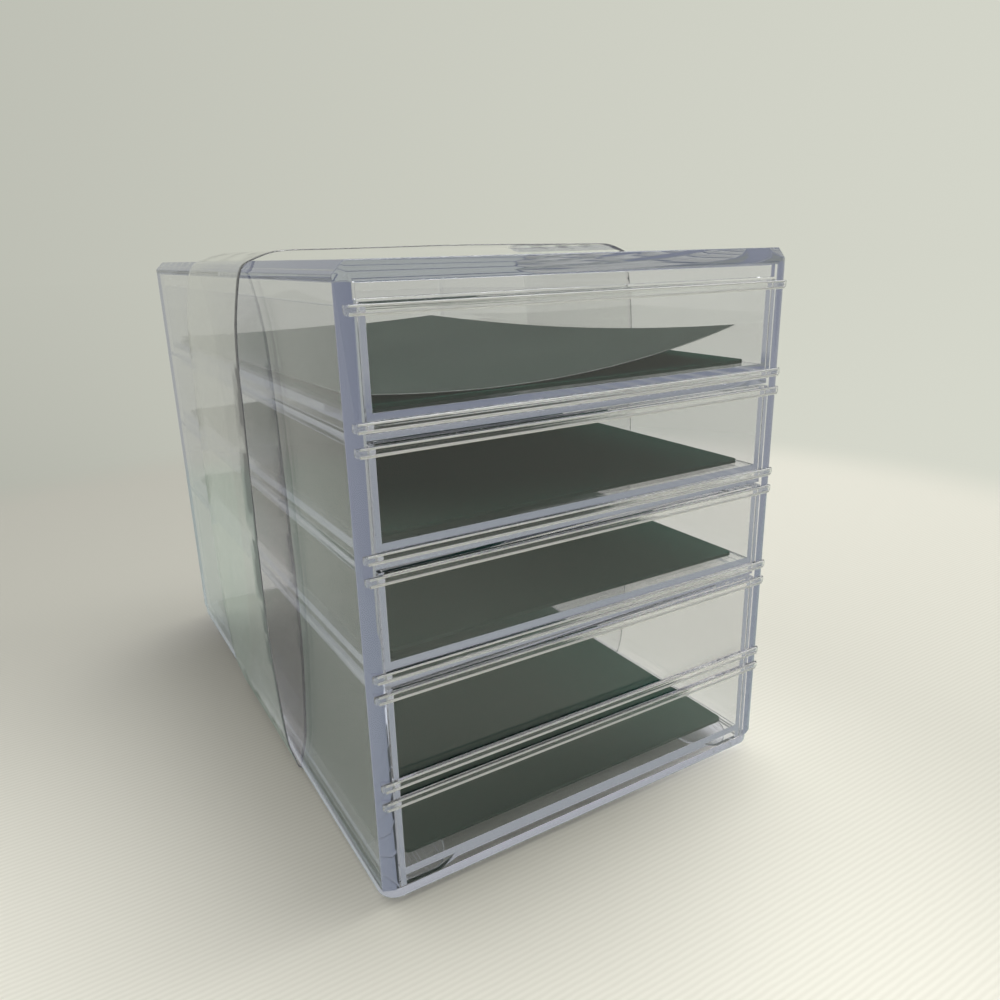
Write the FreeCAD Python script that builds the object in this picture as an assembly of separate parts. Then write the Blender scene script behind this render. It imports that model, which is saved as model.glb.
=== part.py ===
import FreeCAD, Part
import itertools
import math
import os

# Clear four-drawer organiser: three shallow drawers over one deep drawer in a bevelled clear casing.
# Millimetres. +Z is up, the drawers open towards -Y, and X is across the front.
# The origin is on the supporting surface, midway across the width and midway from front to back.

# Casing: an open-fronted moulding that a separate base plate closes below.
casing_width = 150.0
casing_depth = 240.0
side_wall = 5.0
top_wall = 5.0
back_wall = 5.0
edge_bevel = 3.2
front_bevel_depth = 1.4
back_edge_radius = 1.5
head_strip_height = 3.9
head_strip_thickness = 2.4

# Base plate and the round feet under it.
base_thickness = 4.2
base_corner_radius = 6.0
base_edge_radius = 2.0
foot_radius = 10.0
foot_height = 1.2
foot_inset = 15.0
foot_edge_radius = 0.4

# Shelves between the drawers, and the clear height that each drawer has.
shelf_thickness = 1.7
shelf_setback = 1.0
shallow_opening = 31.85
deep_opening = 65.05

# Front panel of a drawer.
panel_thickness = 3.0
panel_side_gap = 0.4
panel_top_gap = 0.55

# Tray behind the panel, moulded in one with it.
run_gap = 0.3
tray_side_gap = 0.7
tray_back_gap = 2.0
tray_wall = 2.0
tray_floor = 2.5
tray_floor_lift = 2.0
tray_rim_drop = 1.0
tray_corner_radius = 3.0

# Grip rails that run across a panel and past its ends, over the casing's front edge.
rail_height = 2.6
rail_proud = 1.2
rail_edge_margin = 0.45
rail_end_inset = 1.4
rail_stop_gap = 0.2
rail_end_radius = 1.0
rail_lower_radius = 0.6
rail_upper_radius = 0.3

# Shallow pull notch in the lower edge of the deep drawer's panel.
notch_end_inset = 12.6
notch_ramp = 6.0
notch_height = 2.0

# Liner that lies on the floor of each tray.
liner_thickness = 1.2
liner_side_margin = 2.2
liner_end_margin = 4.8
liner_corner_radius = 2.0

# Loose card in the top drawer. It sags along one line, and its right side curls up towards the front.
card_thickness = 0.3
card_front_margin = 6.0
card_back_margin = 3.5
card_left_margin = 2.8
card_right_margin = 6.7
card_low_line = 36.8
card_rest_gap = 0.3
card_front_rise = 10.8
card_back_rise = 2.9
card_curl_length = 155.0

# Band of clear film that is wrapped round the casing and stands off it.
film_thickness = 0.3
film_length = 76.0
film_setback = 78.0
film_side_stand = 5.7
film_top_stand = 3.35
# The film's course up one side. Each pair is (outwards from the casing's side, up from the film's underside).
film_low_course = ((-2.5, 0.0), (0.1, 1.0), (1.3, 4.4), (2.6, 9.1), (3.8, 18.2), (5.2, 42.0))
# Its course on to the middle of the top. Each pair is (outwards from the side, up from the top).
film_high_course = (
    (5.35, -58.0),
    (5.1, -42.0),
    (4.1, -19.0),
    (2.2, -7.2),
    (-0.6, -0.9),
    (-3.6, 0.5),
    (-7.8, 2.0),
    (-18.0, 2.9),
)

# Places that follow from the sizes above.
half_width = casing_width / 2
front_y = (rail_proud - casing_depth) / 2
back_y = front_y + casing_depth
base_top = foot_height + base_thickness
row_pitch = shallow_opening + shelf_thickness
deep_ceiling = base_top + deep_opening
shallow_names = ("third", "second", "top")
shelf_names = ("lower", "middle", "upper")
inner_top = deep_ceiling + len(shallow_names) * row_pitch + head_strip_height
casing_top = inner_top + top_wall
inner_half = half_width - side_wall
inner_back = back_y - back_wall
shelf_front = front_y + shelf_setback
panel_half = inner_half - panel_side_gap
panel_back = front_y + panel_thickness
tray_half = inner_half - tray_side_gap
tray_back = inner_back - tray_back_gap
tray_inner_half = tray_half - tray_wall
tray_inner_back = tray_back - tray_wall
rail_half = half_width - rail_end_inset


def block(x0, x1, y0, y1, z0, z1):
    """A box between two corners."""
    return Part.makeBox(x1 - x0, y1 - y0, z1 - z0, FreeCAD.Vector(x0, y0, z0))


def upright_edges(shape, y_limit):
    """The vertical edges that lie behind y_limit."""
    edges = []
    for edge in shape.Edges:
        box = edge.BoundBox
        if box.ZLength > box.XLength + box.YLength and box.YMin > y_limit:
            edges.append(edge)
    return edges


def edges_at_height(shape, height):
    """The edges that lie wholly in the plane z = height."""
    found = []
    for edge in shape.Edges:
        box = edge.BoundBox
        if math.isclose(box.ZMin, height, abs_tol=1e-6) and math.isclose(box.ZMax, height, abs_tol=1e-6):
            found.append(edge)
    return found


def edges_at_depth(shape, depth):
    """The edges that lie wholly in the plane y = depth."""
    found = []
    for edge in shape.Edges:
        box = edge.BoundBox
        if math.isclose(box.YMin, depth, abs_tol=1e-6) and math.isclose(box.YMax, depth, abs_tol=1e-6):
            found.append(edge)
    return found


def wedge(corner, first, second, sweep):
    """Triangular prism: a corner, the ends of its two legs, and how far it reaches from there."""
    outline = Part.makePolygon([corner, corner + first, corner + second, corner])
    return Part.Face(outline).extrude(sweep)


def corner_cut(corner, legs):
    """Four-sided solid with one vertex at the corner and the others at the ends of three legs."""
    ends = [corner + leg for leg in legs]
    faces = [Part.Face(Part.makePolygon([*ends, ends[0]]))]
    for first, second in itertools.combinations(ends, 2):
        faces.append(Part.Face(Part.makePolygon([corner, first, second, corner])))
    return Part.Solid(Part.Shell(faces))


def casing_outside():
    """Block with sloping long top edges, rounded back edges and a bevelled frame in front."""
    along_x = FreeCAD.Vector(casing_width, 0, 0)
    along_y = FreeCAD.Vector(0, casing_depth, 0)
    up = FreeCAD.Vector(0, 0, casing_top - base_top)
    down = FreeCAD.Vector(0, 0, -edge_bevel)
    inwards_y = FreeCAD.Vector(0, front_bevel_depth, 0)
    body = block(-half_width, half_width, front_y, back_y, base_top, casing_top)
    for side in (-1, 1):
        top_corner = FreeCAD.Vector(side * half_width, front_y, casing_top)
        inwards_x = FreeCAD.Vector(-side * edge_bevel, 0, 0)
        body = body.cut(wedge(top_corner, inwards_x, down, along_y))
    rounded = [edge for edge in edges_at_depth(body, back_y) if edge.BoundBox.ZMax > base_top + edge_bevel]
    body = body.makeFillet(back_edge_radius, rounded)
    for side in (-1, 1):
        top_corner = FreeCAD.Vector(side * half_width, front_y, casing_top)
        inwards_x = FreeCAD.Vector(-side * edge_bevel, 0, 0)
        body = body.cut(wedge(top_corner - up, inwards_x, inwards_y, up))
        body = body.cut(corner_cut(top_corner, [2 * leg for leg in (inwards_x, inwards_y, down)]))
    front_left = FreeCAD.Vector(-half_width, front_y, casing_top)
    return body.cut(wedge(front_left, inwards_y, down, along_x))


def casing_shell():
    """Top, sides and back in one moulding, with a strip along the front under the top wall."""
    outside = casing_outside()
    overrun = casing_depth
    cavity = block(-inner_half, inner_half, front_y - overrun, inner_back, base_top - overrun, inner_top)
    strip_bottom = inner_top - head_strip_height
    strip_back = shelf_front + head_strip_thickness
    strip = block(-inner_half, inner_half, shelf_front, strip_back, strip_bottom, inner_top)
    return outside.cut(cavity).fuse(strip).removeSplitter()


def base_plate():
    """Flat plate under the casing, with round corners and a rounded lower edge."""
    plate = block(-half_width, half_width, front_y, back_y, foot_height, base_top)
    plate = plate.makeFillet(base_corner_radius, upright_edges(plate, front_y - base_corner_radius))
    return plate.makeFillet(base_edge_radius, edges_at_height(plate, foot_height))


def foot(x, y):
    """Round foot with a slightly rounded lower edge."""
    disc = Part.makeCylinder(foot_radius, foot_height, FreeCAD.Vector(x, y, 0))
    return disc.makeFillet(foot_edge_radius, edges_at_height(disc, 0))


def shelf(top):
    """Plate that meets both side walls and the back wall, and stands a little back from the front."""
    return block(-inner_half, inner_half, shelf_front, inner_back, top - shelf_thickness, top)


def rail(centre_z):
    """Grip rail. It joins the panel, and its ends stop just short of the casing's front face."""
    low = centre_z - rail_height / 2
    high = centre_z + rail_height / 2
    bar_front = front_y - rail_proud
    bar_back = front_y - rail_stop_gap
    bar = block(-rail_half, rail_half, bar_front, bar_back, low, high)
    ends = [edge for edge in edges_at_height(bar, low) if edge.BoundBox.XLength < rail_end_radius]
    bar = bar.makeFillet(rail_end_radius, ends)
    lower = [edge for edge in edges_at_depth(bar, bar_front) if edge.BoundBox.ZMax < centre_z]
    bar = bar.makeFillet(rail_lower_radius, lower)
    upper = [edge for edge in edges_at_height(bar, high) if edge.BoundBox.YMax < bar_back]
    bar = bar.makeFillet(rail_upper_radius, upper)
    return bar.fuse(block(-panel_half, panel_half, bar_back, front_y, low, high))


def floor_top(bottom):
    """Height of a tray floor's upper face, where the liner lies."""
    return bottom + tray_floor_lift + tray_floor


def tray(bottom, rim):
    """Open box behind the panel. Its floor is lifted off the shelf, and its walls run on down as a skirt."""
    outside = block(-tray_half, tray_half, panel_back, tray_back, bottom, rim)
    outside = outside.makeFillet(tray_corner_radius, upright_edges(outside, panel_back))
    inner_radius = tray_corner_radius - tray_wall
    for low, high in ((floor_top(bottom), rim + tray_wall), (bottom - tray_wall, bottom + tray_floor_lift)):
        hollow = block(-tray_inner_half, tray_inner_half, panel_back, tray_inner_back, low, high)
        outside = outside.cut(hollow.makeFillet(inner_radius, upright_edges(hollow, panel_back)))
    return outside


def drawer(bottom, ceiling, rail_heights):
    """Front panel, grip rails and tray in one moulding."""
    panel_top = ceiling - panel_top_gap
    body = block(-panel_half, panel_half, front_y, panel_back, bottom, panel_top)
    body = body.fuse(tray(bottom, panel_top - tray_rim_drop))
    for centre_z in rail_heights:
        body = body.fuse(rail(centre_z))
    return body.removeSplitter()


def rail_low(bottom):
    """Centre height of the rail along a panel's lower edge."""
    return bottom + rail_edge_margin + rail_height / 2


def rail_high(ceiling):
    """Centre height of the rail along a panel's upper edge."""
    return ceiling - panel_top_gap - rail_edge_margin - rail_height / 2


def pull_notch(bottom):
    """Shallow notch with sloping ends, cut up into the lower edge of the deep panel."""
    outer = panel_half - notch_end_inset
    inner = outer - notch_ramp
    top = bottom + notch_height
    corners = [(-outer, bottom), (outer, bottom), (inner, top), (-inner, top), (-outer, bottom)]
    outline = Part.makePolygon([FreeCAD.Vector(x, front_y, z) for x, z in corners])
    return Part.Face(outline).extrude(FreeCAD.Vector(0, panel_thickness, 0))


def deep_drawer(bottom, ceiling):
    """Double-height drawer. A pair of rails at mid height keeps the rhythm of the drawers above."""
    upper_middle = rail_low(ceiling - shallow_opening + run_gap)
    lower_middle = rail_high(ceiling - row_pitch)
    rails = (lower_middle, upper_middle, rail_high(ceiling))
    return drawer(bottom, ceiling, rails).cut(pull_notch(bottom)).removeSplitter()


def liner(bottom):
    """Thin dark sheet on the floor of a tray."""
    low = floor_top(bottom)
    half = tray_inner_half - liner_side_margin
    y0 = panel_back + liner_end_margin
    y1 = tray_inner_back - liner_end_margin
    sheet = block(-half, half, y0, y1, low, low + liner_thickness)
    return sheet.makeFillet(liner_corner_radius, upright_edges(sheet, y0 - liner_corner_radius))


def card_section(distance, low):
    """Thin curved strip: the card's cross-section at a distance behind its front edge."""
    y = panel_back + card_front_margin + distance
    left = card_left_margin - tray_inner_half
    right = tray_inner_half - card_right_margin
    low_x = left + card_low_line
    ease = max(0.0, 1.0 - distance / card_curl_length) ** 2
    right_rise = card_back_rise + (card_front_rise - card_back_rise) * ease
    reach = right - low_x
    radius = (reach ** 2 + right_rise ** 2) / (2 * right_rise)
    left_rise = radius - math.sqrt(radius ** 2 - card_low_line ** 2)
    high = low + card_thickness
    arcs = []
    for z in (low, high):
        start = FreeCAD.Vector(left, y, z + left_rise)
        middle = FreeCAD.Vector(low_x, y, z)
        end = FreeCAD.Vector(right, y, z + right_rise)
        arcs.append((start, Part.Arc(start, middle, end).toShape(), end))
    (start_low, arc_low, end_low), (start_high, arc_high, end_high) = arcs
    right_edge = Part.makeLine(end_low, end_high)
    left_edge = Part.makeLine(start_high, start_low)
    return Part.Wire(Part.sortEdges([arc_low, right_edge, arc_high, left_edge])[0])


def insert_card(bottom):
    """Loose card, lofted through sections from its curled front to its flatter back."""
    low = floor_top(bottom) + liner_thickness + card_rest_gap
    length = tray_inner_back - card_back_margin - (panel_back + card_front_margin)
    stations = (0.0, card_curl_length / 2, card_curl_length, length)
    return Part.makeLoft([card_section(distance, low) for distance in stations], True, False)


def film_curve(points):
    """Smooth curve through the points that starts and ends level, heading towards -X."""
    level = FreeCAD.Vector(-1, 0, 0)
    curve = Part.BSplineCurve()
    curve.interpolate(Points=points, InitialTangent=level, FinalTangent=level, Scale=False)
    return curve


def film_course():
    """Points of the film's middle surface: up the left side, across the top and down the right side."""
    under = foot_height / 2
    rising = [(out, under + up) for out, up in film_low_course]
    rising.append((film_side_stand, (under + casing_top) / 2))
    rising.extend((out, casing_top + up) for out, up in film_high_course)
    left = [FreeCAD.Vector(-half_width - out, 0, z) for out, z in rising]
    crown = FreeCAD.Vector(0, 0, casing_top + film_top_stand)
    right = [FreeCAD.Vector(-point.x, 0, point.z) for point in reversed(left)]
    return [*left, crown, *right]


def film_loop(course, outwards):
    """Closed outline that runs at a set distance outside the film's middle surface, and flat underneath."""
    middle = film_curve(course)
    shifted = []
    for point in course:
        tangent = middle.tangent(middle.parameter(point))[0]
        shifted.append(point + FreeCAD.Vector(-tangent.z, 0, tangent.x) * outwards)
    flat = Part.makeLine(shifted[-1], shifted[0])
    return Part.Wire([film_curve(shifted).toShape(), flat])


def film_sleeve():
    """Closed loop of thin film that bows away from the casing's sides and top."""
    course = film_course()
    ring = Part.Face([film_loop(course, side * film_thickness / 2) for side in (1, -1)])
    ring.translate(FreeCAD.Vector(0, front_y + film_setback, 0))
    return ring.extrude(FreeCAD.Vector(0, film_length, 0))


def save(node, shape):
    """Write one node as STEP."""
    shape.exportStep(os.path.join("parts", node + ".step"))


def build():
    """Write every piece as a node of its own."""
    os.makedirs("parts", exist_ok=True)
    save("casing_shell", casing_shell())
    save("base_plate", base_plate())
    foot_x = half_width - foot_inset
    for place, y in (("front", front_y + foot_inset), ("back", back_y - foot_inset)):
        save(f"foot_{place}_left", foot(-foot_x, y))
        save(f"foot_{place}_right", foot(foot_x, y))
    deep_bottom = base_top + run_gap
    save("drawer_deep", deep_drawer(deep_bottom, deep_ceiling))
    save("liner_deep", liner(deep_bottom))
    for row, name in enumerate(shallow_names):
        ceiling = deep_ceiling + (row + 1) * row_pitch
        shelf_top = ceiling - shallow_opening
        bottom = shelf_top + run_gap
        save(f"shelf_{shelf_names[row]}", shelf(shelf_top))
        save(f"drawer_{name}", drawer(bottom, ceiling, (rail_low(bottom), rail_high(ceiling))))
        save(f"liner_{name}", liner(bottom))
    top_bottom = deep_ceiling + len(shallow_names) * row_pitch - shallow_opening + run_gap
    save("insert_card", insert_card(top_bottom))
    save("film_sleeve", film_sleeve())


build()
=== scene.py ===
import math

import bmesh
import bpy
from mathutils import Matrix, Vector


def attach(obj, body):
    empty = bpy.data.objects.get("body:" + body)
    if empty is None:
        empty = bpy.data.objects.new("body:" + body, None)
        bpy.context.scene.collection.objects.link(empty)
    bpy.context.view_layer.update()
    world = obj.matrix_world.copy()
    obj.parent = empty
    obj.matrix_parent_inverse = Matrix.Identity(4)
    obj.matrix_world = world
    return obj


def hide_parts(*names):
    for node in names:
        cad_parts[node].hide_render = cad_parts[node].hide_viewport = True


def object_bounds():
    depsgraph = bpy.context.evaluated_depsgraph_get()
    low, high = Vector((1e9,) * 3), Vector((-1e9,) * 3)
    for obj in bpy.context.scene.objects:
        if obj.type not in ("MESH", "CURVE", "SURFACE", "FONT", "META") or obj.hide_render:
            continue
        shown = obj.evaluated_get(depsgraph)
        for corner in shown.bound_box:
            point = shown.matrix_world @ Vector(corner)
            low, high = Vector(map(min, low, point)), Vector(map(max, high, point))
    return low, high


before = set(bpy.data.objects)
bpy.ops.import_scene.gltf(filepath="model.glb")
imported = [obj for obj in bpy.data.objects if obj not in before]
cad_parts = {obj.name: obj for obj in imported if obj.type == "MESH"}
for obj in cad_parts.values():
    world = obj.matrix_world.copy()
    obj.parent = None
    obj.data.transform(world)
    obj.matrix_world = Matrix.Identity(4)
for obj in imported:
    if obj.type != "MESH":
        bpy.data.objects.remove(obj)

packed_low, packed_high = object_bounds()


# ---------------------------------------------------------------------------------------------
# Viewpoint. The organiser is seen across its front left corner from close by, at the height of
# its top and looking a little down, as it would be by someone who bends to a table.
# ---------------------------------------------------------------------------------------------
viewpoint = Vector((-0.13918, -0.29749, 0.18060))
view_turn = math.radians(30.77)
view_fall = math.radians(-17.19)
view_roll = math.radians(-1.463)
sensor_width = 36.0
focal_share = 0.8005
nearest_seen = 0.01

camera_data = bpy.data.cameras.new("viewpoint")
camera_data.sensor_width = sensor_width
camera_data.lens = sensor_width * focal_share
camera_data.clip_start = nearest_seen
camera = bpy.data.objects.new("viewpoint", camera_data)
camera.matrix_world = (
    Matrix.Translation(viewpoint)
    @ Matrix.Rotation(-view_turn, 4, "Z")
    @ Matrix.Rotation(math.pi / 2 + view_fall, 4, "X")
    @ Matrix.Rotation(view_roll, 4, "Z")
)
bpy.context.scene.collection.objects.link(camera)
bpy.context.scene.camera = camera
bpy.context.scene.view_settings.view_transform = "Standard"


# ---------------------------------------------------------------------------------------------
# Studio. A pale ribbed cloth floor that turns to a plain wall colour further out, one large soft
# lamp overhead on the right, and a surround that is darker on the side the drawers face. Cloth
# and wall are painted dimmer on the left, a painted shade for the light that falls from the right.
# ---------------------------------------------------------------------------------------------
cloth_colour = (0.685, 0.672, 0.585, 1)
rib_colour = (0.735, 0.722, 0.635, 1)
rib_scale = 170.0
rib_waver = 1.2
cloth_roughness = 0.85
cloth_sheen = 0.2
floor_half = 8.0
# The cloth starts to fade at the first distance from the part, and is all wall colour at the second.
cloth_reach = 0.42
wall_reach = 0.54
# Painted shade: left of the part, the cloth's painted brightness runs from front to back. Right of it, it is
# even.
cloth_front_y = -0.14
cloth_front_painted_shade = 1.2
cloth_back_y = 0.17
cloth_back_painted_shade = 0.6
cloth_right_x = 0.16
cloth_right_painted_shade = 0.85
# Painted reflection: polished skins show the cloth a little greener than it is, as a room behind the viewer
# would.
painted_reflection_tint = (0.83, 1.0, 0.96, 1)

wall_colour = (0.57, 0.58, 0.51, 1)
# Painted shade: the wall is painted dimmer on the left and brighter on the right.
wall_left_painted_shade = 0.62
wall_right_painted_shade = 1.18
# Lamplight from the surround grows with height, and shades off towards the drawers' side.
low_height = -0.1
low_light = 0.45
full_height = 0.8
full_light = 0.95
front_facing = -0.7
front_shade = 0.14
side_facing = 0.1
# Lamp tubes cross a dim ceiling, each between its edge and its core as shares of their pitch.
ceiling_low = 0.42
ceiling_high = 0.56
ceiling_shade = 0.05
least_height = 0.05
tube_pitch = 0.55
tube_edge = 0.72
tube_core = 0.80
tube_light = 1.9

# Clear walls stand one behind another here, so light needs many turns to get through them.
cycles = bpy.context.scene.cycles
cycles.max_bounces = 20
cycles.transmission_bounces = 20
cycles.glossy_bounces = 16
cycles.transparent_max_bounces = 48


def new_material(name):
    """Empty node material, with its tree and its output node."""
    material = bpy.data.materials.new(name)
    material.use_nodes = True
    tree = material.node_tree
    tree.nodes.clear()
    return material, tree, tree.nodes.new("ShaderNodeOutputMaterial")


def join(tree, value, socket):
    """Gives an input its value, which is a number, a colour or another node's output."""
    if isinstance(value, bpy.types.NodeSocket):
        tree.links.new(value, socket)
    else:
        socket.default_value = value


def worked(tree, operation, *values, clamped=False):
    """Result of a Math node that is given numbers or other nodes' outputs."""
    step = tree.nodes.new("ShaderNodeMath")
    step.operation = operation
    step.use_clamp = clamped
    for socket, value in zip(step.inputs, values):
        join(tree, value, socket)
    return step.outputs["Value"]


def ranged(tree, source, start, end, low, high, interpolation="SMOOTHSTEP"):
    """Map Range node that turns start..end into low..high."""
    ramp = tree.nodes.new("ShaderNodeMapRange")
    ramp.interpolation_type = interpolation
    for name, value in (("Value", source), ("From Min", start), ("From Max", end),
                        ("To Min", low), ("To Max", high)):
        join(tree, value, ramp.inputs[name])
    return ramp.outputs["Result"]


def blended(tree, share, first, second, way="MIX"):
    """Mix node between two colours."""
    mix = tree.nodes.new("ShaderNodeMix")
    mix.data_type = "RGBA"
    mix.blend_type = way
    for name, value in (("Factor", share), ("A", first), ("B", second)):
        join(tree, value, mix.inputs[name])
    return mix.outputs["Result"]


def mixed(tree, share, first, second):
    """Mix Shader node between two shaders."""
    mix = tree.nodes.new("ShaderNodeMixShader")
    for socket, source in zip(mix.inputs, (share, first, second)):
        tree.links.new(source, socket)
    return mix.outputs["Shader"]


def split(tree, source):
    """Separate XYZ node's outputs."""
    parts = tree.nodes.new("ShaderNodeSeparateXYZ")
    tree.links.new(source, parts.inputs["Vector"])
    return parts.outputs


def floor_material():
    """Fine ribbed cloth near the part that fades to the wall's colour with distance, with painted shade on
    cloth and wall and a painted greener reflection.
    """
    material, tree, output = new_material("floor_cloth")
    nodes, links = tree.nodes, tree.links
    place = nodes.new("ShaderNodeTexCoord").outputs["Object"]
    where = split(tree, place)
    # Painted shade: left of the part the cloth is painted brighter at the front and darker at the back, and
    # it is even on the right.
    shade = nodes.new("ShaderNodeMix")
    links.new(ranged(tree, where["X"], 0.0, cloth_right_x, 0.0, 1.0), shade.inputs["Factor"])
    links.new(ranged(tree, where["Y"], cloth_front_y, cloth_back_y, cloth_front_painted_shade, cloth_back_painted_shade),
              shade.inputs["A"])
    shade.inputs["B"].default_value = cloth_right_painted_shade
    ribs = nodes.new("ShaderNodeTexWave")
    ribs.bands_direction = "Y"
    ribs.inputs["Scale"].default_value = rib_scale
    ribs.inputs["Distortion"].default_value = rib_waver
    links.new(place, ribs.inputs["Vector"])
    woven = blended(tree, ribs.outputs["Fac"], cloth_colour, rib_colour)
    # Painted reflection: the cloth is tinted greener only where polished skins reflect it.
    path = nodes.new("ShaderNodeLightPath")
    mirrored = worked(tree, "SUBTRACT", path.outputs["Is Glossy Ray"], path.outputs["Is Transmission Ray"],
                      clamped=True)
    shaded = nodes.new("ShaderNodeVectorMath")
    shaded.operation = "SCALE"
    links.new(blended(tree, mirrored, woven, painted_reflection_tint, "MULTIPLY"), shaded.inputs["Vector"])
    links.new(shade.outputs["Result"], shaded.inputs["Scale"])
    cloth = nodes.new("ShaderNodeBsdfPrincipled")
    links.new(shaded.outputs["Vector"], cloth.inputs["Base Color"])
    cloth.inputs["Roughness"].default_value = cloth_roughness
    cloth.inputs["Specular IOR Level"].default_value = cloth_sheen
    outward = nodes.new("ShaderNodeVectorMath")
    outward.operation = "NORMALIZE"
    links.new(place, outward.inputs[0])
    side = split(tree, outward.outputs["Vector"])["X"]
    # Painted shade: the wall colour is painted dimmer on the left and brighter on the right.
    wall = nodes.new("ShaderNodeEmission")
    wall.inputs["Color"].default_value = wall_colour
    links.new(ranged(tree, side, -1.0, 1.0, wall_left_painted_shade, wall_right_painted_shade, "LINEAR"),
              wall.inputs["Strength"])
    distance = nodes.new("ShaderNodeVectorMath")
    distance.operation = "LENGTH"
    links.new(place, distance.inputs[0])
    fade = ranged(tree, distance.outputs["Value"], cloth_reach, wall_reach, 0.0, 1.0)
    links.new(mixed(tree, fade, cloth.outputs["BSDF"], wall.outputs["Emission"]), output.inputs["Surface"])
    return material


floor_mesh = bpy.data.meshes.new("studio_floor")
floor_corners = [(x, y, 0) for x, y in ((-floor_half, -floor_half), (floor_half, -floor_half),
                                        (floor_half, floor_half), (-floor_half, floor_half))]
floor_mesh.from_pydata(floor_corners, [], [(0, 1, 2, 3)])
floor_mesh.materials.append(floor_material())
floor = bpy.data.objects.new("studio_floor", floor_mesh)
bpy.context.scene.collection.objects.link(floor)


def soft_lamp(name, place, target, size, power):
    """Square lamp that faces a point."""
    data = bpy.data.lights.new(name, "AREA")
    data.size = size
    data.energy = power
    lamp = bpy.data.objects.new(name, data)
    lamp.location = place
    lamp.rotation_euler = (Vector(target) - Vector(place)).to_track_quat("-Z", "Y").to_euler()
    bpy.context.scene.collection.objects.link(lamp)


soft_lamp("overhead_lamp", place=(0.50, 0.12, 1.3), target=(0, 0, 0.05), size=0.9, power=13.0)


def surround():
    """World that shades off for lamplight, with lamp tubes across a dim ceiling for polished skins."""
    world = bpy.data.worlds.new("surround")
    bpy.context.scene.world = world
    world.use_nodes = True
    tree = world.node_tree
    nodes, links = tree.nodes, tree.links
    nodes.clear()
    output = nodes.new("ShaderNodeOutputWorld")
    way = split(tree, nodes.new("ShaderNodeTexCoord").outputs["Generated"])
    height = ranged(tree, way["Z"], low_height, full_height, low_light, full_light)
    facing = ranged(tree, way["Y"], front_facing, side_facing, front_shade, 1.0)
    # Painted shade: the surround seen past the part and in its skins is painted dimmer on the left.
    side = ranged(tree, way["X"], -1.0, 1.0, wall_left_painted_shade, wall_right_painted_shade, "LINEAR")
    lit = nodes.new("ShaderNodeBackground")
    links.new(worked(tree, "MULTIPLY", height, facing), lit.inputs["Color"])

    slope = worked(tree, "DIVIDE", way["Y"], worked(tree, "MAXIMUM", way["Z"], least_height))
    tubes = ranged(tree, worked(tree, "PINGPONG", slope, tube_pitch), tube_pitch * tube_edge,
                   tube_pitch * tube_core, ceiling_shade, tube_light)
    overhead = ranged(tree, way["Z"], ceiling_low, ceiling_high, 0.0, 1.0)
    path = nodes.new("ShaderNodeLightPath")
    dimmed = worked(tree, "MULTIPLY", path.outputs["Is Glossy Ray"], worked(tree, "SUBTRACT", 1.0, facing))
    seen = nodes.new("ShaderNodeBackground")
    links.new(blended(tree, overhead, wall_colour, tubes), seen.inputs["Color"])
    links.new(worked(tree, "MULTIPLY", worked(tree, "SUBTRACT", 1.0, dimmed), side), seen.inputs["Strength"])
    links.new(mixed(tree, path.outputs["Is Diffuse Ray"], seen.outputs["Background"],
                    lit.outputs["Background"]), output.inputs["Surface"])


surround()


# ---------------------------------------------------------------------------------------------
# Clear mouldings: casing, base plate, feet, shelves and drawers. Each is one polished clear
# plastic moulding with slightly rounded edges, fine scratches and, but for the casing, faint
# flow waves. Light that runs along inside the walls picks up a violet cast, and is painted there as a glow.
# ---------------------------------------------------------------------------------------------
clear_index = 1.49
shadow_tint = (0.93, 0.93, 0.94, 1)
# The tint is slightly uneven, and deepens to violet with the length of plastic that light crosses.
cloud_scale = 22.0
cloud_detail = 2.0
body_violet = (0.72, 0.75, 0.81, 1)
body_density = 7.0
base_density = 3.0
# Light that has turned this often is shut inside a wall, and there the wall shows a painted glow of pale
# violet.
trapped_turns = 13.5
casing_painted_glow = (0.31, 0.325, 0.375, 1)
base_painted_glow = (0.44, 0.45, 0.485, 1)
drawer_painted_glow = (0.35, 0.365, 0.39, 1)
# Scratches are the peaks of a noise that is drawn out along the depth. Flow waves are a slow noise.
scratch_stretch = (260, 18, 260)
scratch_turn = (0.3, 0.2, 0.5)
scratch_scale = 6.0
scratch_detail = 3.0
scratch_start = 0.60
scratch_full = 0.74
flow_scale = 38.0
flow_detail = 1.0
flow_depth = 0.0004
# Walls that touch are drawn apart by the gap, and points closer than the reach become one.
touch_gap = 0.00002
merge_reach = 0.000002
# Faces that turn less than the first angle are one face. Edges that turn more than the second are
# rounded, and those that turn more than the third stay sharp to the light.
flat_within = math.radians(0.2)
edge_from = math.radians(28)
crease_from = math.radians(50)
flat_face_weight = 100


def noise(tree, place, scale, detail):
    """Noise texture's value."""
    texture = tree.nodes.new("ShaderNodeTexNoise")
    texture.inputs["Scale"].default_value = scale
    texture.inputs["Detail"].default_value = detail
    tree.links.new(place, texture.inputs["Vector"])
    return texture.outputs["Fac"]


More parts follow.
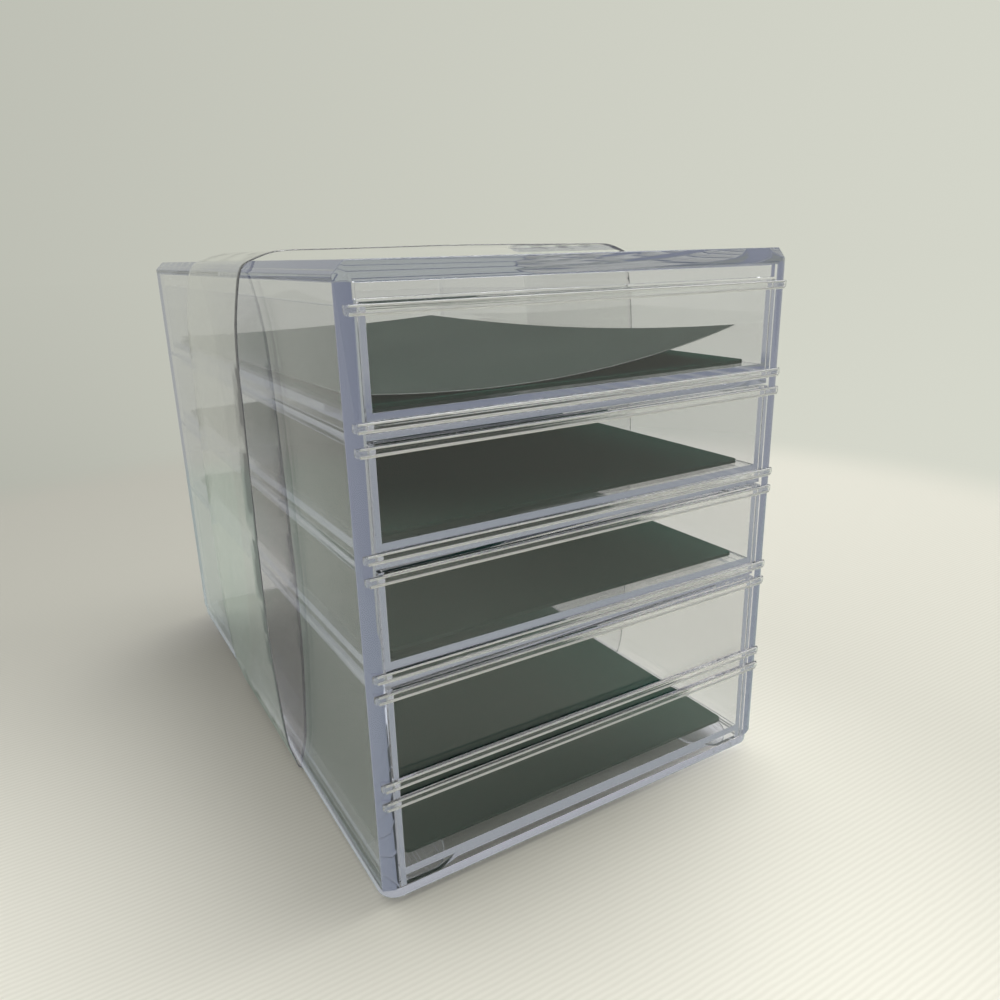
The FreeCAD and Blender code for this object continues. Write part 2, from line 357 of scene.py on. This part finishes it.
def moulded_skin():
    """Shared shader group: roughness and normal of a polished skin with scratches and flow waves."""
    group = bpy.data.node_groups.new("moulded_skin", "ShaderNodeTree")
    for name in ("Polish", "Scratch", "Wave"):
        group.interface.new_socket(name=name, in_out="INPUT", socket_type="NodeSocketFloat")
    group.interface.new_socket(name="Roughness", in_out="OUTPUT", socket_type="NodeSocketFloat")
    group.interface.new_socket(name="Normal", in_out="OUTPUT", socket_type="NodeSocketVector")
    nodes, links = group.nodes, group.links
    given = nodes.new("NodeGroupInput").outputs
    result = nodes.new("NodeGroupOutput")
    place = nodes.new("ShaderNodeTexCoord").outputs["Object"]
    drawn = nodes.new("ShaderNodeMapping")
    drawn.inputs["Scale"].default_value = scratch_stretch
    drawn.inputs["Rotation"].default_value = scratch_turn
    links.new(place, drawn.inputs["Vector"])
    scratches = ranged(group, noise(group, drawn.outputs["Vector"], scratch_scale, scratch_detail),
                       scratch_start, scratch_full, 0.0, 1.0, "LINEAR")
    links.new(worked(group, "MULTIPLY_ADD", scratches, given["Scratch"], given["Polish"]),
              result.inputs["Roughness"])
    bump = nodes.new("ShaderNodeBump")
    bump.inputs["Distance"].default_value = flow_depth
    links.new(given["Wave"], bump.inputs["Strength"])
    links.new(noise(group, place, flow_scale, flow_detail), bump.inputs["Height"])
    links.new(bump.outputs["Normal"], result.inputs["Normal"])
    return group


skin_group = moulded_skin()


def clear_plastic(name, tint, cloudy_tint, polish, scratch, wave, density, painted_trapped_glow):
    """Clear moulded plastic that lets lamplight through, with its own tint, polish and wear, and a painted
    glow where light is shut inside it.
    """
    material, tree, output = new_material(name)
    nodes, links = tree.nodes, tree.links
    skin = nodes.new("ShaderNodeGroup")
    skin.node_tree = skin_group
    skin.inputs["Polish"].default_value = polish
    skin.inputs["Scratch"].default_value = scratch
    skin.inputs["Wave"].default_value = wave
    cloud = noise(tree, nodes.new("ShaderNodeTexCoord").outputs["Object"], cloud_scale, cloud_detail)
    shader = nodes.new("ShaderNodeBsdfPrincipled")
    shader.inputs["Metallic"].default_value = 0.0
    shader.inputs["Transmission Weight"].default_value = 1.0
    shader.inputs["IOR"].default_value = clear_index
    links.new(blended(tree, cloud, tint, cloudy_tint), shader.inputs["Base Color"])
    links.new(skin.outputs["Roughness"], shader.inputs["Roughness"])
    links.new(skin.outputs["Normal"], shader.inputs["Normal"])
    through = nodes.new("ShaderNodeBsdfTransparent")
    through.inputs["Color"].default_value = shadow_tint
    path = nodes.new("ShaderNodeLightPath").outputs
    lit = mixed(tree, path["Is Shadow Ray"], shader.outputs["BSDF"], through.outputs["BSDF"])
    # Painted light: a ray that has turned many times inside the plastic meets a glow in its place.
    trapped = worked(tree, "GREATER_THAN", path["Ray Depth"], trapped_turns)
    glow = nodes.new("ShaderNodeEmission")
    glow.inputs["Color"].default_value = painted_trapped_glow
    links.new(mixed(tree, trapped, lit, glow.outputs["Emission"]), output.inputs["Surface"])
    if density > 0:
        body = nodes.new("ShaderNodeVolumeAbsorption")
        body.inputs["Color"].default_value = body_violet
        body.inputs["Density"].default_value = density
        links.new(body.outputs["Volume"], output.inputs["Volume"])
    return material


def rounded_copy(node, edge_width=0.0, steps=1, inset=0.0):
    """Closed copy of a CAD node with rounded edges, drawn in by inset so that touching walls part."""
    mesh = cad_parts[node].data.copy()
    mesh.materials.clear()
    shape = bmesh.new()
    shape.from_mesh(mesh)
    bmesh.ops.remove_doubles(shape, verts=shape.verts, dist=merge_reach)
    if edge_width > 0:
        bmesh.ops.dissolve_limit(shape, angle_limit=flat_within, verts=shape.verts, edges=shape.edges)
    bmesh.ops.recalc_face_normals(shape, faces=shape.faces)
    shape.to_mesh(mesh)
    shape.free()
    piece = bpy.data.objects.new(node + "_piece", mesh)
    bpy.context.scene.collection.objects.link(piece)
    if inset > 0:
        part = piece.modifiers.new("parting", "DISPLACE")
        part.strength = -inset
        part.mid_level = 0.0
    if edge_width > 0:
        edges = piece.modifiers.new("edges", "BEVEL")
        edges.width = edge_width
        edges.segments = steps
        edges.limit_method = "ANGLE"
        edges.angle_limit = edge_from
    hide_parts(node)
    return piece


def settle(piece):
    """Applies a piece's modifiers."""
    graph = bpy.context.evaluated_depsgraph_get()
    mesh = bpy.data.meshes.new_from_object(piece.evaluated_get(graph))
    piece.modifiers.clear()
    piece.data = mesh


def crease(mesh):
    """Shades a mesh smooth but for its sharp edges."""
    mesh.shade_smooth()
    mesh.set_sharp_from_angle(angle=crease_from)


def finish(piece, material, body):
    """Keeps a piece's flat faces flat to the light, coats it, and fixes it to its body."""
    settle(piece)
    crease(piece.data)
    level = piece.modifiers.new("level", "WEIGHTED_NORMAL")
    level.keep_sharp = True
    level.weight = flat_face_weight
    settle(piece)
    piece.data.materials.clear()
    piece.data.materials.append(material)
    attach(piece, body)


casing_plastic = clear_plastic(
    "clear_casing", tint=(0.97, 0.97, 0.985, 1), cloudy_tint=(0.93, 0.93, 0.96, 1),
    polish=0.004, scratch=0.03, wave=0.0, density=body_density, painted_trapped_glow=casing_painted_glow)
base_plastic = clear_plastic(
    "clear_base", tint=(0.96, 0.96, 0.98, 1), cloudy_tint=(0.92, 0.92, 0.955, 1),
    polish=0.02, scratch=0.05, wave=0.10, density=base_density, painted_trapped_glow=base_painted_glow)
shelf_plastic = clear_plastic(
    "clear_shelf", tint=(0.97, 0.975, 0.98, 1), cloudy_tint=(0.94, 0.945, 0.955, 1),
    polish=0.01, scratch=0.04, wave=0.05, density=body_density, painted_trapped_glow=drawer_painted_glow)
foot_plastic = clear_plastic(
    "clear_foot", tint=(0.92, 0.92, 0.93, 1), cloudy_tint=(0.86, 0.86, 0.88, 1),
    polish=0.25, scratch=0.1, wave=0.2, density=0.0, painted_trapped_glow=base_painted_glow)
drawer_plastic = clear_plastic(
    "clear_drawer", tint=(0.98, 0.98, 0.985, 1), cloudy_tint=(0.95, 0.95, 0.96, 1),
    polish=0.004, scratch=0.03, wave=0.02, density=body_density, painted_trapped_glow=drawer_painted_glow)

# Each row holds the nodes, the width and the steps of their rounded edges, their plastic and its slot.
casing_nodes = (
    (("casing_shell",), 0.0003, 2, casing_plastic, "clear_casing"),
    (("base_plate",), 0.0004, 2, base_plastic, "clear_base"),
    (("shelf_lower", "shelf_middle", "shelf_upper"), 0.0002, 1, shelf_plastic, "clear_shelf"),
    (("foot_front_left", "foot_front_right", "foot_back_left", "foot_back_right"), 0.0001, 1, foot_plastic,
     "clear_foot"),
)
for names, edge_width, steps, plastic, slot_name in casing_nodes:
    for node in names:
        finish(rounded_copy(node, edge_width, steps, touch_gap), plastic, "casing")

drawer_names = ("deep", "third", "second", "top")
drawer_edge = 0.00025
drawer_edge_steps = 2
# The grip rails are one moulding with their drawer, and the only part of it ahead of the casing.
rail_front = packed_low.y
rail_depth = 0.00115
# A face whose normal rises more than this looks up.
upward = 0.5
# Their finish has faint draw lines, a noise that is drawn out along the rail.
# Painted highlight: the rails are not wholly clear, so a faint matt white paints part of their bright band.
rail_clearness = 0.94
rail_line_depth = 0.4
rail_tints = ((0.94, 0.95, 0.93, 1), (1.0, 1.0, 0.99, 1))
rail_roughness = (0.02, 0.05)
line_stretch = (4, 900, 900)
line_scale = 1.6
line_detail = 2.0
line_height = 0.0006


def grip_material(name, clearness, line_depth):
    """Pale skin with faint lengthwise draw lines; the less clear, the whiter it looks, and that white is a
    painted highlight.
    """
    material, tree, output = new_material(name)
    nodes, links = tree.nodes, tree.links
    drawn = nodes.new("ShaderNodeMapping")
    drawn.inputs["Scale"].default_value = line_stretch
    links.new(nodes.new("ShaderNodeTexCoord").outputs["Object"], drawn.inputs["Vector"])
    lines = noise(tree, drawn.outputs["Vector"], line_scale, line_detail)
    ridges = nodes.new("ShaderNodeBump")
    ridges.inputs["Strength"].default_value = line_depth
    ridges.inputs["Distance"].default_value = line_height
    links.new(lines, ridges.inputs["Height"])
    shader = nodes.new("ShaderNodeBsdfPrincipled")
    shader.inputs["Transmission Weight"].default_value = clearness
    shader.inputs["IOR"].default_value = clear_index
    links.new(blended(tree, lines, *rail_tints), shader.inputs["Base Color"])
    links.new(ranged(tree, lines, 0.0, 1.0, *rail_roughness, "LINEAR"), shader.inputs["Roughness"])
    links.new(ridges.outputs["Normal"], shader.inputs["Normal"])
    links.new(shader.outputs["BSDF"], output.inputs["Surface"])
    return material


grip_plastic = grip_material("clear_grip", rail_clearness, rail_line_depth)


def coat_rails(piece, grip):
    """Gives the grip rails their own pale finish, partly a painted highlight, all but their upper faces."""
    piece.data.materials.append(grip)
    for face in piece.data.polygons:
        if face.center.y < rail_front + rail_depth and face.normal.z < upward:
            face.material_index = 1


for name in drawer_names:
    piece = rounded_copy("drawer_" + name, drawer_edge, drawer_edge_steps, touch_gap)
    finish(piece, drawer_plastic, "drawer_" + name + "_body")
    coat_rails(piece, grip_plastic)


# ---------------------------------------------------------------------------------------------
# Grip beads: two round lines moulded partly sunk into the front of each grip rail, a fine one
# above and a fuller one below, for the fingers to hold. Their whitish, barely clear skin is a
# painted highlight for the bright lines along the rail, and they stop just short of its ends.
# ---------------------------------------------------------------------------------------------
bead_half_length = 0.0724
bead_radius = 0.00041
bead_sides = 20
upper_bead_share = 0.65
bead_proud = 0.0003
bead_spacing = 0.0019
beads_per_rail = 2
# Painted highlight: the beads are mostly a matt white that stands in for the rails' bright lines.
bead_highlight_clearness = 0.25
bead_line_depth = 0.12
# A rail's middle lies this far from the panel's edge. The deep drawer's middle pair lies this far
# below its top.
rail_from_edge = 0.00175
deep_middle_rails = (0.02925, 0.0353)


def bead_tree():
    """Geometry Nodes tree that lays a stack of straight beads at every point it is given."""
    tree = bpy.data.node_groups.new("grip_beads", "GeometryNodeTree")
    sockets = tree.interface
    sockets.new_socket(name="Rails", in_out="INPUT", socket_type="NodeSocketGeometry")
    for name, kind in (("Half Length", "Float"), ("Radius", "Float"), ("Upper Share", "Float"),
                       ("Spacing", "Float"), ("Beads", "Int"), ("Plastic", "Material")):
        sockets.new_socket(name=name, in_out="INPUT", socket_type="NodeSocket" + kind)
    sockets.new_socket(name="Beads", in_out="OUTPUT", socket_type="NodeSocketGeometry")
    nodes, links = tree.nodes, tree.links
    given = nodes.new("NodeGroupInput").outputs
    result = nodes.new("NodeGroupOutput")

    def vector(x=0.0, y=0.0, z=0.0):
        made = nodes.new("ShaderNodeCombineXYZ")
        for socket, value in zip(made.inputs, (x, y, z)):
            join(tree, value, socket)
        return made.outputs["Vector"]

    line = nodes.new("GeometryNodeCurvePrimitiveLine")
    links.new(vector(x=worked(tree, "MULTIPLY", given["Half Length"], -1.0)), line.inputs["Start"])
    links.new(vector(x=given["Half Length"]), line.inputs["End"])
    ring = nodes.new("GeometryNodeCurvePrimitiveCircle")
    ring.inputs["Resolution"].default_value = bead_sides
    links.new(given["Radius"], ring.inputs["Radius"])
    bead = nodes.new("GeometryNodeCurveToMesh")
    bead.inputs["Fill Caps"].default_value = True
    links.new(line.outputs["Curve"], bead.inputs["Curve"])
    links.new(ring.outputs["Curve"], bead.inputs["Profile Curve"])

    # The stack is centred on its point, and each bead is thinner than the one below it.
    stack = nodes.new("GeometryNodeMeshLine")
    steps = worked(tree, "SUBTRACT", given["Beads"], 1.0)
    drop = worked(tree, "MULTIPLY", worked(tree, "MULTIPLY", given["Spacing"], steps), -0.5)
    links.new(given["Beads"], stack.inputs["Count"])
    links.new(vector(z=drop), stack.inputs["Start Location"])
    links.new(vector(z=given["Spacing"]), stack.inputs["Offset"])
    number = nodes.new("GeometryNodeInputIndex").outputs["Index"]
    share = worked(tree, "POWER", given["Upper Share"], number)
    stacked = nodes.new("GeometryNodeInstanceOnPoints")
    links.new(stack.outputs["Mesh"], stacked.inputs["Points"])
    links.new(bead.outputs["Mesh"], stacked.inputs["Instance"])
    links.new(vector(1.0, share, share), stacked.inputs["Scale"])

    laid = nodes.new("GeometryNodeInstanceOnPoints")
    links.new(given["Rails"], laid.inputs["Points"])
    links.new(stacked.outputs["Instances"], laid.inputs["Instance"])
    real = nodes.new("GeometryNodeRealizeInstances")
    links.new(laid.outputs["Instances"], real.inputs["Geometry"])
    coat = nodes.new("GeometryNodeSetMaterial")
    links.new(real.outputs["Geometry"], coat.inputs["Geometry"])
    links.new(given["Plastic"], coat.inputs["Material"])
    links.new(coat.outputs["Geometry"], result.inputs["Beads"])
    return tree


beads = bead_tree()
# The beads' skin is a painted highlight, mostly matt white.
bead_painted_highlight = grip_material("grip_bead", bead_highlight_clearness, bead_line_depth)
bead_sizes = {"Half Length": bead_half_length, "Radius": bead_radius, "Upper Share": upper_bead_share,
              "Spacing": bead_spacing, "Beads": beads_per_rail, "Plastic": bead_painted_highlight}


def grip_beads(name, heights):
    """The beads of one drawer's rails as a plain closed mesh."""
    points = bpy.data.meshes.new("grip_points_" + name)
    points.from_pydata([(0, rail_front + bead_radius - bead_proud, z) for z in heights], [], [])
    piece = bpy.data.objects.new("grip_beads_" + name, points)
    bpy.context.scene.collection.objects.link(piece)
    layer = piece.modifiers.new("beads", "NODES")
    layer.node_group = beads
    for item in beads.interface.items_tree:
        if item.in_out == "INPUT" and item.name in bead_sizes:
            layer[item.identifier] = bead_sizes[item.name]
    settle(piece)
    shape = bmesh.new()
    shape.from_mesh(piece.data)
    bmesh.ops.recalc_face_normals(shape, faces=shape.faces)
    shape.to_mesh(piece.data)
    shape.free()
    crease(piece.data)
    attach(piece, "drawer_" + name + "_body")


for name in drawer_names:
    heights = [corner[2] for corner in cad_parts["drawer_" + name].bound_box]
    panel_top = max(heights)
    if name == "deep":
        rails = [panel_top - drop for drop in (rail_from_edge, *deep_middle_rails)]
    else:
        rails = [panel_top - rail_from_edge, min(heights) + rail_from_edge]
    grip_beads(name, rails)


# ---------------------------------------------------------------------------------------------
# Liners: thin dark green-grey sheets that lie loose on the tray floors. Their face is matt and
# varies slightly in shade, with specks of dust.
# ---------------------------------------------------------------------------------------------
liner_edge = 0.0001
shade_scale = 14.0
shade_detail = 4.0
dust_scale = 120.0
dust_colour = (0.42, 0.44, 0.42, 1)
smooth_share = 0.8
rough_share = 1.25


def dark_sheet(name, colour, pale_colour, roughness, sheen, dust_size):
    """Smooth sheet that varies slightly in shade, with a few pale specks of dust."""
    material, tree, output = new_material(name)
    nodes, links = tree.nodes, tree.links
    place = nodes.new("ShaderNodeTexCoord").outputs["Object"]
    cloud = noise(tree, place, shade_scale, shade_detail)
    specks = nodes.new("ShaderNodeTexVoronoi")
    specks.inputs["Scale"].default_value = dust_scale
    links.new(place, specks.inputs["Vector"])
    dust = ranged(tree, specks.outputs["Distance"], dust_size, 0.0, 0.0, 1.0, "LINEAR")
    rough = ranged(tree, cloud, 0.0, 1.0, roughness * smooth_share, roughness * rough_share, "LINEAR")
    shader = nodes.new("ShaderNodeBsdfPrincipled")
    shader.inputs["Specular IOR Level"].default_value = sheen
    links.new(blended(tree, dust, blended(tree, cloud, colour, pale_colour), dust_colour),
              shader.inputs["Base Color"])
    links.new(rough, shader.inputs["Roughness"])
    links.new(shader.outputs["BSDF"], output.inputs["Surface"])
    return material


liner_face = dark_sheet("liner_sheet", colour=(0.005, 0.034, 0.023, 1), pale_colour=(0.009, 0.043, 0.029, 1),
                        roughness=0.30, sheen=0.0, dust_size=0.03)
for name in drawer_names:
    piece = rounded_copy("liner_" + name, liner_edge, inset=touch_gap)
    finish(piece, liner_face, "drawer_" + name + "_body")


# ---------------------------------------------------------------------------------------------
# Insert card: thin coated card that lies loose on the top liner and has curled up at the side.
# Its face is dark, and its paler core shows along its cut edges.
# ---------------------------------------------------------------------------------------------
card_face = dark_sheet("card_face", colour=(0.024, 0.036, 0.028, 1), pale_colour=(0.032, 0.046, 0.037, 1),
                       roughness=0.5, sheen=0.02, dust_size=0.02)
card_core = dark_sheet("card_core", colour=(0.30, 0.32, 0.30, 1), pale_colour=(0.40, 0.42, 0.40, 1),
                       roughness=0.7, sheen=0.1, dust_size=0.0)
card = rounded_copy("insert_card")
finish(card, card_face, "drawer_top_body")
card.data.materials.append(card_core)
for face in card.data.polygons:
    if abs(face.normal.z) < upward:
        face.material_index = 1


# ---------------------------------------------------------------------------------------------
# Wrapping film: thin clear film passed once round the casing. It stands off the sides and top,
# its skin is slightly wavy, and its cut edge is painted darker by a dim glow where light is shut inside it.
# ---------------------------------------------------------------------------------------------
# Painted shade: where light is shut inside the film, it shows this dim glow in its place.
film_painted_glow = (0.07, 0.07, 0.075, 1)
film_plastic = clear_plastic(
    "wrapping_film", tint=(0.985, 0.985, 0.98, 1), cloudy_tint=(0.97, 0.97, 0.965, 1),
    polish=0.01, scratch=0.05, wave=0.12, density=0.0, painted_trapped_glow=film_painted_glow)
finish(rounded_copy("film_sleeve"), film_plastic, "sleeve")
